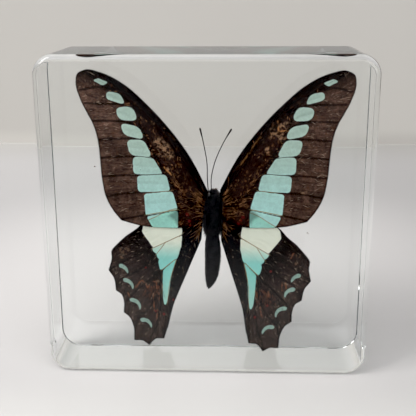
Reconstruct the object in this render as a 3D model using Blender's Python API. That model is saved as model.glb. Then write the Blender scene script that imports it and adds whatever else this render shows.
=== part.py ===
"""Clear resin block that holds a mounted butterfly: the cast, polished block itself.

The block stands upright on its narrow underside, with its broad viewing face towards -Y.
The origin is the middle of the underside. Units are metres, and +Z is up.
"""

import math

import bmesh
import bpy

# Driving dimensions
SIDE = 0.075  # width and height of the square viewing face
THICKNESS = 0.023  # front face to back face
CORNER_RADIUS = 0.0046  # the four rounded corners, seen from the front
FRONT_EDGE_RADIUS = 0.0016  # the moulded rounding where the front face meets the narrow sides
BACK_EDGE_RADIUS = 0.0003  # the back face is ground flat, so its edge is only eased
CORNER_STEPS = 12  # facets in each rounded corner
EDGE_STEPS = 4  # facets across each polished edge

# Finish of clear cast resin
RESIN_COLOR = (0.93, 0.95, 0.94, 1.0)
RESIN_ROUGHNESS = 0.03
RESIN_IOR = 1.5


def clear_scene():
    """Remove whatever the file holds, so that only the block is left."""
    for obj in list(bpy.data.objects):
        bpy.data.objects.remove(obj, do_unlink=True)


def rounded_square(side, radius, steps):
    """Points round a square with round corners, centred on x = 0 and standing on z = 0."""
    reach = side / 2 - radius
    centres = ((reach, reach), (-reach, reach), (-reach, -reach), (reach, -reach))
    points = []
    for quarter, (x, z) in enumerate(centres):
        for step in range(steps + 1):
            angle = math.pi / 2 * (quarter + step / steps)
            points.append((x + radius * math.cos(angle), side / 2 + z + radius * math.sin(angle)))
    return points


def block_mesh(name):
    """The rounded square, extruded through the thickness. Each rim's bevel weight gives its share of the widest rim."""
    shell = bmesh.new()
    outline = rounded_square(SIDE, CORNER_RADIUS, CORNER_STEPS)
    rim = [shell.verts.new((x, -THICKNESS / 2, z)) for x, z in outline]
    front = shell.faces.new(rim)
    swept = bmesh.ops.extrude_face_region(shell, geom=[front], use_keep_orig=True)
    back_verts = [item for item in swept["geom"] if isinstance(item, bmesh.types.BMVert)]
    bmesh.ops.translate(shell, verts=back_verts, vec=(0, THICKNESS, 0))
    bmesh.ops.recalc_face_normals(shell, faces=shell.faces)
    weights = shell.edges.layers.float.new("bevel_weight_edge")
    for edge in shell.edges:
        depths = [vertex.co.y for vertex in edge.verts]
        if max(depths) < 0:
            edge[weights] = 1.0
        elif min(depths) > 0:
            edge[weights] = BACK_EDGE_RADIUS / FRONT_EDGE_RADIUS
    mesh = bpy.data.meshes.new(name)
    shell.to_mesh(mesh)
    shell.free()
    return mesh


def resin_material():
    """Water-clear casting resin with a polished surface."""
    material = bpy.data.materials.new("clear_resin")
    material.use_nodes = True
    shader = material.node_tree.nodes["Principled BSDF"]
    shader.inputs["Base Color"].default_value = RESIN_COLOR
    shader.inputs["Roughness"].default_value = RESIN_ROUGHNESS
    shader.inputs["Metallic"].default_value = 0.0
    shader.inputs["IOR"].default_value = RESIN_IOR
    shader.inputs["Transmission Weight"].default_value = 1.0
    return material


def build_block():
    """The block, with its two rims rounded by one weighted bevel."""
    block = bpy.data.objects.new("resin_block", block_mesh("resin_block"))
    bpy.context.scene.collection.objects.link(block)
    block.data.materials.append(resin_material())
    block.data.shade_smooth()
    bevel = block.modifiers.new("polished_edges", "BEVEL")
    bevel.width = FRONT_EDGE_RADIUS
    bevel.segments = EDGE_STEPS
    bevel.limit_method = "WEIGHT"
    bevel.harden_normals = True
    return block


clear_scene()
build_block()
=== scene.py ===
# %% [markdown]
# # A butterfly cast in a clear resin block
# The object is a slab of clear casting resin, polished on every side, with a spread butterfly sealed
# inside. The slab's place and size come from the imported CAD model. Everything sealed in it is made here:
# four wings with veins and fringes, a body with fur, antennae and legs, and a few specks.

# %% Load the block and note its size
import math

import bpy
import numpy as np
from mathutils import Matrix, Vector, geometry


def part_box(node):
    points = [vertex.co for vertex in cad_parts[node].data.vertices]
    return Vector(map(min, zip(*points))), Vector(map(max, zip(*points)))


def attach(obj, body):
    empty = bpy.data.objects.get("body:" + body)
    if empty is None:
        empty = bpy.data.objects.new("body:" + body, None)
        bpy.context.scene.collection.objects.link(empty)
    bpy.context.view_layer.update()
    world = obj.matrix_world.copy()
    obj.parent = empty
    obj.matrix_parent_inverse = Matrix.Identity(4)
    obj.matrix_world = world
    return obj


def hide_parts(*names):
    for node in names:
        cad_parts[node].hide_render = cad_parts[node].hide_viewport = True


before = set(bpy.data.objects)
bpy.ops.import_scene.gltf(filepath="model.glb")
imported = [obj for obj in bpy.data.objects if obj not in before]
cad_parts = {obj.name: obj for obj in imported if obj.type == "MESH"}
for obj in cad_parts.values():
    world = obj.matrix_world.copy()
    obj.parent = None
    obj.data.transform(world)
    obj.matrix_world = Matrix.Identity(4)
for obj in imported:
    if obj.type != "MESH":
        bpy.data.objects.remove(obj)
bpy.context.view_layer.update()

MM = 0.001
BODY = "root"
BLOCK_NODE = "resin_block"
block_low, block_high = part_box(BLOCK_NODE)
print("block in mm:", [round(side / MM, 1) for side in block_high - block_low])

# %% [markdown]
# ## Short calls for node trees
# Materials and Geometry Nodes are both trees of nodes. Written in full, each node takes several lines,
# which hides what the tree does. One small class shortens that: it adds a node, sets its inputs, and
# links any input whose value is another node's output.

# %% A helper for node trees
class Tree:
    """A node tree, with short calls for the nodes that this scene uses often."""

    def __init__(self, tree):
        self.tree = tree

    def add(self, kind, inputs=None, **settings):
        """A new node. Keys of inputs are socket names or numbers, and values are sockets or constants."""
        node = self.tree.nodes.new(kind)
        for key, value in settings.items():
            setattr(node, key, value)
        for key, value in (inputs or {}).items():
            self.feed(node.inputs[key], value)
        return node

    def first(self, kind, inputs=None, **settings):
        """The first output of a new node."""
        return self.add(kind, inputs, **settings).outputs[0]

    def feed(self, socket, value):
        """Link a socket to another node's output, or set its value."""
        if isinstance(value, bpy.types.NodeSocket):
            self.tree.links.new(value, socket)
        else:
            socket.default_value = value

    def math(self, operation, first, second=0.0):
        return self.first("ShaderNodeMath", {0: first, 1: second}, operation=operation)

    def vector(self, operation, first, second=(0, 0, 0)):
        return self.first("ShaderNodeVectorMath", {0: first, 1: second}, operation=operation)

    def scaled(self, vector, factor):
        return self.first("ShaderNodeVectorMath", {0: vector, "Scale": factor}, operation="SCALE")

    def mix(self, factor, first, second, blend="MIX"):
        """A mix of two colours."""
        node = self.add("ShaderNodeMix", data_type="RGBA", blend_type=blend)
        for index, value in ((0, factor), (6, first), (7, second)):
            self.feed(node.inputs[index], value)
        return node.outputs[2]

    def ramp(self, value, start, end, low=0.0, high=1.0):
        """A smooth step from low to high as the value goes from start to end."""
        inputs = {"Value": value, "From Min": start, "From Max": end, "To Min": low, "To Max": high}
        return self.first("ShaderNodeMapRange", inputs, interpolation_type="SMOOTHSTEP")

    def noise(self, vector, scale, detail=3.0, roughness=0.5):
        inputs = {"Vector": vector, "Scale": scale, "Detail": detail, "Roughness": roughness}
        return self.add("ShaderNodeTexNoise", inputs).outputs["Fac"]


def rgb(red, green, blue):
    """A colour given as on a screen, 0 to 255, in the linear values that shaders take."""
    def linear(value):
        value /= 255
        return value / 12.92 if value <= 0.04045 else ((value + 0.055) / 1.055) ** 2.4
    return (linear(red), linear(green), linear(blue), 1.0)


# %% [markdown]
# ## Curves and distances
# A wing's outline, its pale marks and its veins are drawn flat, in millimetres, each from a few points. A
# smooth curve through the points makes an outline, and a mark is a polygon with eased corners. The
# colours meet along crisp lines, so each wing point stores its signed distance to each kind of mark:
# below zero inside and above zero outside. A shader turns that distance into a clean edge at any size.

# %% Flat curves and loops
def smooth_curve(points, step=0.3):
    """Points about step apart on a smooth curve through the given points."""
    points = np.asarray(points, float)
    chords = np.diff(points, axis=0)
    lengths = np.linalg.norm(chords, axis=1)[:, None]
    slopes = chords / lengths
    middle = (slopes[:-1] * lengths[1:] + slopes[1:] * lengths[:-1]) / (lengths[:-1] + lengths[1:])
    tangents = np.vstack([slopes[:1], middle, slopes[-1:]])
    made = []
    for i, length in enumerate(lengths[:, 0]):
        t = np.linspace(0, 1, max(1, round(length / step)), endpoint=False)[:, None]
        leaving = t * (1 - t) ** 2 * length * tangents[i]
        arriving = t * t * (t - 1) * length * tangents[i + 1]
        made.append((1 + 2 * t) * (1 - t) ** 2 * points[i] + leaving)
        made[-1] += t * t * (3 - 2 * t) * points[i + 1] + arriving
    return np.vstack(made + [points[-1:]])


def joined_runs(runs, step=0.3):
    """A closed loop of smooth runs that meet at corners. Each run starts where the one before it ends."""
    return np.vstack([smooth_curve(run, step)[:-1] for run in runs])


def eased_loop(corners, radius, steps=6):
    """A polygon's outline with each corner eased by a short curve."""
    corners = np.asarray(corners, float)
    t = np.linspace(0, 1, steps)[:, None]
    made = []
    for before, corner, after in zip(np.roll(corners, 1, 0), corners, np.roll(corners, -1, 0)):
        ends = []
        for other in (before, after):
            way = other - corner
            ends.append(corner + way * min(radius / np.linalg.norm(way), 0.45))
        made.append((1 - t) ** 2 * ends[0] + 2 * t * (1 - t) * corner + t * t * ends[1])
    return np.vstack(made)


def crescent(centre, radius, start, end, width):
    """A thin moon along part of a circle, blunt at its start and drawn out to a point at its end."""
    share = np.linspace(0, 1, 16)
    angles = np.radians(start + (end - start) * share)
    rays = np.stack([np.cos(angles), np.sin(angles)], 1)
    half = 0.5 * width * np.minimum(1, 4 * share + 0.5) * (1 - share) ** 0.45
    outer = centre + rays * (radius + half)[:, None]
    inner = centre + rays * (radius - half)[:, None]
    return np.vstack([outer, inner[::-1]])


# %% Distances in a flat drawing
def distance_to_path(points, path, closed=False):
    """Each point's distance to the nearest stretch of a path."""
    path = np.asarray(path, float)
    starts = path if closed else path[:-1]
    ends = np.roll(path, -1, 0) if closed else path[1:]
    nearest = np.full(len(points), np.inf)
    for start, end in zip(starts, ends):
        way = end - start
        share = np.clip((points - start) @ way / max(way @ way, 1e-12), 0, 1)
        nearest = np.minimum(nearest, np.linalg.norm(points - start - share[:, None] * way, axis=1))
    return nearest


def signed_distance(points, loop):
    """Distance to a closed loop, negative inside it: there, a ray crosses the loop an odd number of times."""
    odd = np.zeros(len(points), bool)
    x, z = points.T
    for (x1, z1), (x2, z2) in zip(loop, np.roll(loop, -1, 0)):
        if z1 != z2:
            crosses = (z1 > z) != (z2 > z)
            odd ^= crosses & (x < x1 + (z - z1) / (z2 - z1) * (x2 - x1))
    distance = distance_to_path(points, loop, closed=True)
    return np.where(odd, -distance, distance)


def nearest_of(points, loops):
    """The smallest signed distance to any of several loops."""
    return np.min([signed_distance(points, loop) for loop in loops], axis=0)


def soft_spots(points, spots):
    """A mask that is 1 in the middle of each spot (x, z, radius) and fades to 0 at its radius."""
    mask = np.zeros(len(points))
    for x, z, radius in spots:
        away = np.linalg.norm(points - (x, z), axis=1) / radius
        mask = np.maximum(mask, np.clip(1 - away, 0, 1))
    return mask


SQUARE = eased_loop([(1, 1), (-1, 1), (-1, -1), (1, -1)], 0.5)
print("distance from a 2 mm square's middle to its edge:", signed_distance(np.zeros((1, 2)), SQUARE).round(2))

# %% [markdown]
# ## The camera
# A slightly long lens stands a hand's length from the block and looks down on it, from a little above its
# top edge and 7 mm right of its middle. Three turns aim it: yaw about the vertical, pitch downwards, and
# a hair of roll.

# %% Camera
CAMERA_PLACE = (6.90, -173.49, 88.71)
CAMERA_YAW = -2.26
CAMERA_PITCH = 16.33
CAMERA_ROLL = -0.248
CAMERA_LENS = 65.35


def add_camera():
    yaw, pitch, roll = (math.radians(angle) for angle in (CAMERA_YAW, CAMERA_PITCH, CAMERA_ROLL))
    forward = Vector((math.sin(yaw) * math.cos(pitch), math.cos(yaw) * math.cos(pitch), -math.sin(pitch)))
    level = Vector((math.cos(yaw), -math.sin(yaw), 0))
    upright = level.cross(forward)
    right = math.cos(roll) * level + math.sin(roll) * upright
    up = math.cos(roll) * upright - math.sin(roll) * level
    data = bpy.data.cameras.new("camera")
    data.lens = CAMERA_LENS
    data.clip_start = 0.005
    camera = bpy.data.objects.new("camera", data)
    turn = Matrix((right, up, -forward)).transposed().to_4x4()
    camera.matrix_world = Matrix.Translation(Vector(CAMERA_PLACE) * MM) @ turn
    bpy.context.collection.objects.link(camera)
    bpy.context.scene.camera = camera
    return camera


camera = add_camera()
print("camera at", tuple(round(v, 3) for v in camera.location))

# %% [markdown]
# ## The clear block
# The real slab is poured face down in a mould, so its four corners and its front rim are rounded. The
# back is ground flat and polished, so its rim is almost sharp. Clear resin shows every facet, so the
# block is built again with many more steps than the CAD solid has, and each point's normal comes from the
# rim's own formula.

# %% Block mesh
CORNER_RADIUS = 4.6
FRONT_RIM = 1.6
BACK_RIM = 0.3
CORNER_STEPS = 32
RIM_STEPS = 8


def block_rings(low, high):
    """Rings of points and normals, from the front face over the front rim, the sides and the back rim."""
    turns = np.linspace(0, math.pi / 2, RIM_STEPS + 1)
    rings = [(angle, FRONT_RIM, low[1] + FRONT_RIM * (1 - math.cos(angle)), -math.cos(angle))
             for angle in turns]
    rings += [(angle, BACK_RIM, high[1] - BACK_RIM * (1 - math.cos(angle)), math.cos(angle))
              for angle in turns[::-1]]
    points, normals = [], []
    for angle, rim, depth, facing in rings:
        radius = CORNER_RADIUS - rim * (1 - math.sin(angle))
        for quarter in range(4):
            sweep = np.linspace(0, math.pi / 2, CORNER_STEPS + 1) + quarter * math.pi / 2
            inner_x = high[0] - CORNER_RADIUS if quarter in (0, 3) else low[0] + CORNER_RADIUS
            inner_z = high[2] - CORNER_RADIUS if quarter in (0, 1) else low[2] + CORNER_RADIUS
            for theta in sweep:
                points.append((inner_x + radius * math.cos(theta), depth, inner_z + radius * math.sin(theta)))
                out = math.sin(angle)
                normals.append((out * math.cos(theta), facing, out * math.sin(theta)))
    return np.array(points), normals, len(rings)


def block_mesh():
    points, normals, ring_count = block_rings(np.array(block_low) / MM, np.array(block_high) / MM)
    around = 4 * (CORNER_STEPS + 1)
    faces = [tuple(range(around)), tuple(range(ring_count * around - 1, (ring_count - 1) * around - 1, -1))]
    for ring in range(ring_count - 1):
        for i in range(around):
            here, there = ring * around + i, ring * around + (i + 1) % around
            faces.append((here, here + around, there + around, there))
    mesh = bpy.data.meshes.new(BLOCK_NODE)
    mesh.from_pydata(points * MM, [], faces)
    mesh.shade_smooth()
    mesh.normals_split_custom_set_from_vertices(normals)
    return mesh


def add_piece(name, mesh):
    """A finished mesh as an object that rides with the block."""
    piece = bpy.data.objects.new(name, mesh)
    bpy.context.collection.objects.link(piece)
    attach(piece, BODY)
    return piece


block = add_piece("clear_block", block_mesh())
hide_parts(BLOCK_NODE)
print("block faces:", len(block.data.polygons))

# %% [markdown]
# ## The resin's finish
# Casting resin is clear with a faint green-grey cast that shows only along its longest paths, at the
# edges. That is plain transmission with a refractive index and a weak absorption. The polish isn't
# perfect, so a very slow bump stands for its waviness, and a few handling smudges are barely rougher than
# the rest.

# %% Resin material
RESIN_INDEX = 1.5
RESIN_TINT = (0.55, 0.80, 0.72, 1.0)
RESIN_DENSITY = 3.0


def new_material(name):
    """A material with a Principled shader. The helper, the shader and the output node come back with it."""
    material = bpy.data.materials.new(name)
    material.use_nodes = True
    nodes = material.node_tree.nodes
    shader, output = (nodes[label].inputs for label in ("Principled BSDF", "Material Output"))
    return material, Tree(material.node_tree), shader, output


def millimetres(tree):
    """Object coordinates in millimetres."""
    return tree.scaled(tree.add("ShaderNodeTexCoord").outputs["Object"], 1 / MM)


def add_bump(tree, shader, height, strength, distance, **settings):
    """Relief in the shading alone, from a height that changes over the surface."""
    inputs = {"Strength": strength, "Distance": distance, "Height": height}
    tree.feed(shader["Normal"], tree.first("ShaderNodeBump", inputs, **settings))


def resin_material():
    material, tree, shader, output = new_material("clear_resin")
    place = millimetres(tree)
    shader["Base Color"].default_value = (1, 1, 1, 1)
    shader["Transmission Weight"].default_value = 1.0
    shader["IOR"].default_value = RESIN_INDEX
    smudge = tree.ramp(tree.noise(place, 0.16, 4.0, 0.6), 0.56, 0.72)
    tree.feed(shader["Roughness"], tree.math("MULTIPLY", smudge, 0.02))
    add_bump(tree, shader, tree.noise(place, 0.05, 1.0), 0.06, 0.0004)
    inputs = {"Color": RESIN_TINT, "Density": RESIN_DENSITY}
    tree.feed(output["Volume"], tree.first("ShaderNodeVolumeAbsorption", inputs))
    return material


block.data.materials.append(resin_material())
print("resin index", RESIN_INDEX, "density", RESIN_DENSITY)

# %% [markdown]
# ## How a wing is drawn
# A wing is drawn once, for the right side, x outwards from the body's centre line and z up. The left wing
# is its mirror image. Real wings are never set quite alike, so each side turns a little about its hinge.
# The forewings lie in front of the hindwings, as they do on a spread butterfly seen from its back.

# %% Placing a wing's drawing
CENTRE_X = 1.5
CENTRE_Y = -1.8
LEFT, RIGHT = -1, 1
SIDES = ((LEFT, "left"), (RIGHT, "right"))


class Wing:
    """One wing's drawing in millimetres, and its way to a place in the block."""

    def __init__(self, hinge, turn, shift, plane, bend):
        self.hinge = np.array(hinge)
        self.turn = math.radians(turn)
        self.shift = np.array(shift)
        self.plane = plane
        self.bend = bend

    def turned(self, points, angle):
        cosine, sine = math.cos(angle), math.sin(angle)
        return points @ np.array([[cosine, sine], [-sine, cosine]])

    def place(self, points, side):
        """Drawing points as x and z in the block."""
        points = self.turned(np.asarray(points) - self.hinge, side * self.turn)
        points = points + self.hinge + side * self.shift
        return np.stack([CENTRE_X + side * points[:, 0], points[:, 1]], 1)

    def drawn(self, places, side):
        """The way back: x and z in the block as drawing points."""
        points = np.stack([(places[:, 0] - CENTRE_X) * side, places[:, 1]], 1)
        return self.turned(points - self.hinge - side * self.shift, -side * self.turn) + self.hinge


FORE = Wing(hinge=(2.0, 41.0), turn=-0.61, shift=(0.14, 0.15), plane=CENTRE_Y - 0.3, bend=0.9)
HIND = Wing(hinge=(2.0, 36.0), turn=-2.81, shift=(-0.31, -0.10), plane=CENTRE_Y + 0.35, bend=0.7)

# %% [markdown]
# ## The forewing's drawing
# The forewing is a long curved triangle. A chain of nine pale windows runs across it, one between each
# pair of veins. The windows are small and narrow near the tip and grow to wide blocks at the hind margin.

# %% Forewing outline, windows and veins
COSTA = [(1.4, 43.6), (5.2, 51.0), (10.2, 57.9), (15.3, 63.4), (20.4, 67.8), (25.4, 70.3), (29.2, 70.9)]
FORE.outline = joined_runs([
    COSTA + [(30.9, 70.0), (31.3, 68.3), (30.4, 64.5), (28.9, 61.3), (27.8, 59.2), (26.7, 55.5),
             (26.3, 52.0), (26.0, 47.0), (25.1, 41.8), (23.6, 38.7), (21.7, 36.2)],
    [(21.7, 36.2), (17.0, 35.0), (11.5, 34.6), (5.0, 35.2), (2.0, 37.0), (1.4, 43.6)],
])
FORE.costa = smooth_curve(COSTA, 0.6)
FORE.windows = [eased_loop(corners, radius) for radius, corners in (
    (0.35, [(24.0, 68.2), (26.2, 69.1), (27.3, 68.6), (25.2, 67.5)]),
    (1.1, [(21.2, 65.7), (24.3, 66.3), (24.5, 64.5), (20.2, 63.3)]),
    (1.6, [(18.5, 63.0), (22.5, 62.6), (21.7, 59.8), (17.3, 59.7)]),
    (1.5, [(17.0, 58.3), (21.4, 59.2), (20.7, 56.4), (16.0, 55.4)]),
    (1.3, [(16.1, 55.4), (20.1, 55.3), (19.3, 51.8), (14.2, 51.5)]),
    (1.1, [(14.2, 51.5), (18.7, 51.4), (18.6, 47.4), (11.7, 47.3)]),
    (1.0, [(11.0, 47.4), (17.8, 47.0), (17.6, 43.1), (10.1, 43.4)]),
    (0.7, [(9.6, 43.4), (16.2, 42.7), (15.9, 37.5), (8.4, 39.0)]),
    (0.6, [(8.4, 38.8), (15.7, 37.2), (14.3, 34.6), (8.4, 34.4)]),
)]
FORE.fan = [smooth_curve(path, 0.5) for path in (
    [(1.8, 43.2), (9.0, 55.0), (17.5, 64.0), (24.0, 69.0)],
    [(2.0, 42.2), (6.0, 48.5), (11.0, 55.5), (16.0, 60.8), (22.0, 66.2), (28.5, 70.0)],
    [(16.6, 61.2), (20.5, 63.2), (24.9, 63.4), (29.3, 63.5)],
    [(16.6, 58.0), (19.5, 59.3), (23.5, 59.6), (27.5, 59.5)],
    [(15.2, 55.2), (18.5, 55.6), (22.5, 55.5), (26.5, 55.2)],
    [(12.9, 51.0), (16.8, 51.5), (21.5, 51.4), (26.4, 51.0)],
    [(10.9, 47.6), (14.5, 47.3), (20.3, 47.1), (26.1, 46.6)],
    [(8.6, 43.7), (13.5, 43.2), (19.4, 42.9), (25.1, 41.9)],
    [(2.2, 39.6), (7.0, 39.2), (12.0, 38.4), (17.0, 37.4), (21.8, 36.4)],
)]
FORE.cell = [smooth_curve(path, 0.5) for path in (
    [(2.2, 40.6), (7.5, 42.5), (11.2, 48.0), (14.5, 53.5), (16.6, 58.0)],
    [(16.6, 58.0), (17.2, 60.0), (16.4, 61.2)],
    [(22.0, 66.2), (25.6, 67.2), (30.4, 66.4)],
)]
FORE.band = np.array([(26.0, 68.5), (23.0, 65.0), (20.0, 61.3), (18.8, 57.2), (17.5, 53.5), (15.8, 49.5),
                      (14.2, 45.3), (12.6, 40.6), (11.8, 36.5)])
# A wedge at the inner end of the lowest window, for painted shade where the hindwing's dark base lies behind
# it.
FORE.shade = np.array([(8.0, 39.2), (8.8, 38.8), (10.5, 37.5), (9.2, 36.6), (8.5, 35.4), (8.0, 35.4)])
print("forewing outline points:", len(FORE.outline), "windows:", len(FORE.windows))

# %% [markdown]
# ## The hindwing's drawing
# The hindwing is scalloped: its outer edge has a tooth at the end of each vein and a hollow between two
# teeth. It carries a cream patch, a blue patch that narrows to a streak along the body, and four
# crescents.

# %% Hindwing outline, patches and veins
HIND.outline = joined_runs([
    [(2.0, 39.5), (6.0, 39.3), (10.3, 38.2), (13.5, 36.4), (16.2, 34.8), (17.5, 33.4), (20.2, 31.2),
     (22.2, 29.1), (23.5, 27.4), (23.5, 25.4), (24.2, 22.4)],
    [(24.2, 22.4), (22.8, 20.1), (22.4, 17.3)],
    [(22.4, 17.3), (20.9, 16.1), (20.4, 14.5), (20.4, 11.6)],
    [(20.4, 11.6), (19.0, 10.4), (18.0, 8.2), (17.7, 4.3)],
    [(17.7, 4.3), (15.5, 4.2), (14.0, 3.2)],
    [(14.0, 3.2), (12.4, 5.0), (10.4, 5.2)],
    [(10.4, 5.2), (9.7, 8.0), (8.7, 13.2), (7.0, 18.5), (5.0, 24.0), (2.3, 31.5)],
    [(2.3, 31.5), (2.0, 39.5)],
])
HIND.cream = [eased_loop([(7.4, 37.0), (6.9, 33.0), (7.1, 32.2), (9.8, 30.4), (13.7, 28.8), (15.4, 31.2),
                          (16.4, 32.6), (16.0, 34.6), (14.5, 36.0)], 0.4)]
HIND.blue = [
    eased_loop([(6.9, 32.2), (10.0, 30.4), (13.9, 28.8), (13.6, 27.8), (12.8, 27.3), (12.7, 26.5),
                (12.1, 26.0), (12.3, 25.2), (11.9, 23.4), (11.5, 23.3), (7.8, 26.5), (7.0, 29.5)], 0.3),
    eased_loop([(8.0, 26.2), (11.1, 23.2), (11.1, 19.8), (10.9, 15.6), (10.5, 14.2), (10.1, 14.5),
                (9.6, 17.0), (9.3, 20.5), (8.8, 23.8)], 0.4),
]
HIND.moons = [crescent(np.array(centre), radius, start, end, 1.15) for centre, radius, start, end in (
    ((21.7, 21.6), 2.1, 90, 175),
    ((20.3, 18.1), 1.95, 80, 190),
    ((18.5, 13.0), 2.0, 75, 195),
    ((15.5, 8.0), 1.9, 65, 185),
)]
HIND.fan = [smooth_curve(path, 0.5) for path in (
    [(2.5, 38.5), (9.0, 37.3), (15.0, 33.8), (20.5, 30.0), (23.6, 27.0)],
    [(6.9, 33.0), (12.0, 33.0), (17.5, 30.5), (22.3, 28.5)],
    [(7.1, 32.3), (13.8, 28.6), (19.5, 25.6), (24.2, 22.4)],
    [(10.9, 30.0), (13.3, 26.6), (18.2, 22.0), (20.2, 21.1), (21.6, 19.5), (22.4, 17.3)],
    [(7.9, 26.5), (11.4, 23.3), (13.6, 21.2), (18.3, 16.6), (19.8, 14.5), (20.4, 11.6)],
    [(11.2, 22.0), (12.3, 17.5), (15.2, 12.0), (16.3, 11.2), (17.4, 8.5), (17.7, 4.4)],
    [(11.1, 19.5), (11.6, 13.0), (12.6, 8.0), (13.6, 5.5), (14.0, 3.3)],
    [(8.0, 26.2), (9.3, 21.0), (9.9, 14.0), (10.3, 8.0), (10.4, 5.2)],
    [(3.2, 33.5), (6.3, 24.0), (8.5, 14.0), (9.6, 8.0)],
)]
HIND.cell = [smooth_curve([(2.5, 37.0), (7.0, 32.5)], 0.5)]
print("hindwing outline points:", len(HIND.outline), "crescents:", len(HIND.moons))

# %% [markdown]
# ## Wing sheets
# A wing is a membrane stiffened by veins, so it is gently pleated: high along each vein and low between
# two. The mesh is a fine net of triangles inside the outline, closed at the rim by a thin edge. A net
# keeps its triangles even, where filling the outline alone would leave long splinters that shade badly.
# Two numbers follow the wing's own grain at every point: which vein is near, and how far out along it.

# %% The grain and the relief of a wing
NET_SPACING = 0.26
SHEET_THICKNESS = 0.09
PLEAT_HEIGHT = 0.07
SPAN = 30.0


def grain(wing, points):
    """Two numbers at each point: its place across the fan of veins, and its distance from the hinge."""
    gap = 4.0
    near = np.array([distance_to_path(points, vein) for vein in wing.fan])
    weights = 1 / (near ** 3 + 0.01)
    across = (weights * np.arange(len(wing.fan))[:, None]).sum(0) / weights.sum(0)
    return np.stack([across, np.linalg.norm(points - wing.hinge, axis=1) / gap], 1)


def relief(wing, points, across):
    """Depth of the wing's middle surface in the block, in millimetres. Lower values are nearer the front."""
    reach = np.linalg.norm(points - wing.hinge, axis=1) / SPAN
    pleat = -PLEAT_HEIGHT * np.cos(2 * math.pi * across) * np.clip(3 * reach, 0, 1)
    wave = 0.05 * np.sin(0.55 * points[:, 0] + 0.3) * np.cos(0.4 * points[:, 1])
    return wing.plane + wing.bend * reach ** 2 + pleat + wave


def flat_net(outline):
    """Points and triangles that fill an outline with an even net."""
    low, high = outline.min(0), outline.max(0)
    heights = np.arange(low[1], high[1], NET_SPACING * math.sqrt(3) / 2)
    columns = np.arange(low[0], high[0], NET_SPACING)
    net = np.array([(x + i % 2 * NET_SPACING / 2, z) for i, z in enumerate(heights) for x in columns])
    net = net[signed_distance(net, outline) < -0.55 * NET_SPACING]
    points = [Vector(point) for point in np.vstack([outline, net])]
    rim = [(i, (i + 1) % len(outline)) for i in range(len(outline))]
    inside_only = 1
    made = geometry.delaunay_2d_cdt(points, rim, [], inside_only, 1e-6)
    return np.array([tuple(point) for point in made[0]]), np.array([tuple(face) for face in made[2]])


# %% A closed sheet from a flat net
def face_counterclockwise(points, faces):
    """The same triangles, each turned so that its corners run counterclockwise."""
    a, b, c = (points[faces[:, i]] for i in range(3))
    area = (b[:, 0] - a[:, 0]) * (c[:, 1] - a[:, 1]) - (b[:, 1] - a[:, 1]) * (c[:, 0] - a[:, 0])
    return np.where((area < 0)[:, None], faces[:, ::-1], faces)


def rim_edges(faces):
    """The directed edges that only one triangle has."""
    edges = {(int(a), int(b)) for face in faces for a, b in zip(face, np.roll(face, -1))}
    return [edge for edge in edges if edge[::-1] not in edges]


def store(mesh, name, values):
    """A number or a vector for each point, as a named attribute."""
    values = np.asarray(values, np.float32)
    kind, field = ("FLOAT", "value") if values.ndim == 1 else ("FLOAT_VECTOR", "vector")
    mesh.attributes.new(name, kind, "POINT").data.foreach_set(field, values.ravel())


def sheet_mesh(name, wing, side, fields):
    """A thin closed wing. fields gives the named numbers of each drawing point, for the materials."""
    points, faces = flat_net(wing.outline)
    fibre = grain(wing, points)
    depth = relief(wing, points, fibre[:, 0])
    places = wing.place(points, side)
    faces = face_counterclockwise(places, faces)
    half = 0.5 * SHEET_THICKNESS
    front, back = (np.stack([places[:, 0], depth + shift, places[:, 1]], 1) for shift in (-half, half))
    count = len(points)
    sides = [(a, a + count, b + count, b) for a, b in sorted(rim_edges(faces))]
    every_face = faces.tolist() + (faces[:, ::-1] + count).tolist() + sides
    mesh = bpy.data.meshes.new(name)
    mesh.from_pydata(np.vstack([front, back]) * MM, [], every_face)
    mesh.polygons.foreach_set("material_index", [0] * len(faces) + [1] * len(faces) + [0] * len(sides))
    mesh.shade_smooth()
    for field, values in {**fields(points, side), "across": fibre[:, 0], "along": fibre[:, 1]}.items():
        store(mesh, field, np.concatenate([values, values]))
    return mesh


# %% [markdown]
# ## What each wing point knows
# The materials need to know where they are: inside a pale window or how far from it, near a vein, near
# the margin, on a rubbed patch, or over the hindwing that lies behind. These are worked out once per
# point. The rubbed patches differ from side to side, because wear does.

# %% Numbers for the forewings
FORE_RUBBED = {
    LEFT: [(11.4, 53.4, 2.6), (10.2, 52.2, 1.6), (12.9, 54.8, 1.5), (10.6, 48.4, 0.9), (14.0, 59.2, 0.8)],
    RIGHT: [(13.6, 57.2, 1.7), (15.2, 56.0, 1.3), (15.7, 58.7, 1.6), (12.0, 53.0, 1.0), (20.5, 43.4, 1.0)],
}
FORE_SCRATCHES = {
    LEFT: [[(9.0, 55.4), (10.6, 57.1)], [(9.8, 47.3), (11.5, 49.1)], [(2.5, 43.6), (3.2, 45.8)]],
    RIGHT: [[(4.4, 47.9), (6.3, 50.6)], [(6.0, 49.6), (8.2, 52.7)], [(7.6, 52.2), (10.3, 56.2)],
            [(14.2, 59.7), (14.4, 57.4), (16.8, 57.5)], [(2.3, 39.0), (2.3, 43.1)]],
}
FORE_RED = {
    LEFT: [(6.2, 37.9, 0.7), (5.7, 36.3, 0.6), (5.6, 35.2, 0.4)],
    RIGHT: [(6.8, 37.1, 0.7), (5.8, 35.6, 0.6), (6.3, 36.3, 0.5)],
}


def beyond_band(points):
    """How far out each point is from the line through the middle of the chain of windows."""
    return points[:, 0] - np.interp(points[:, 1], FORE.band[::-1, 1], FORE.band[::-1, 0])


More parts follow.
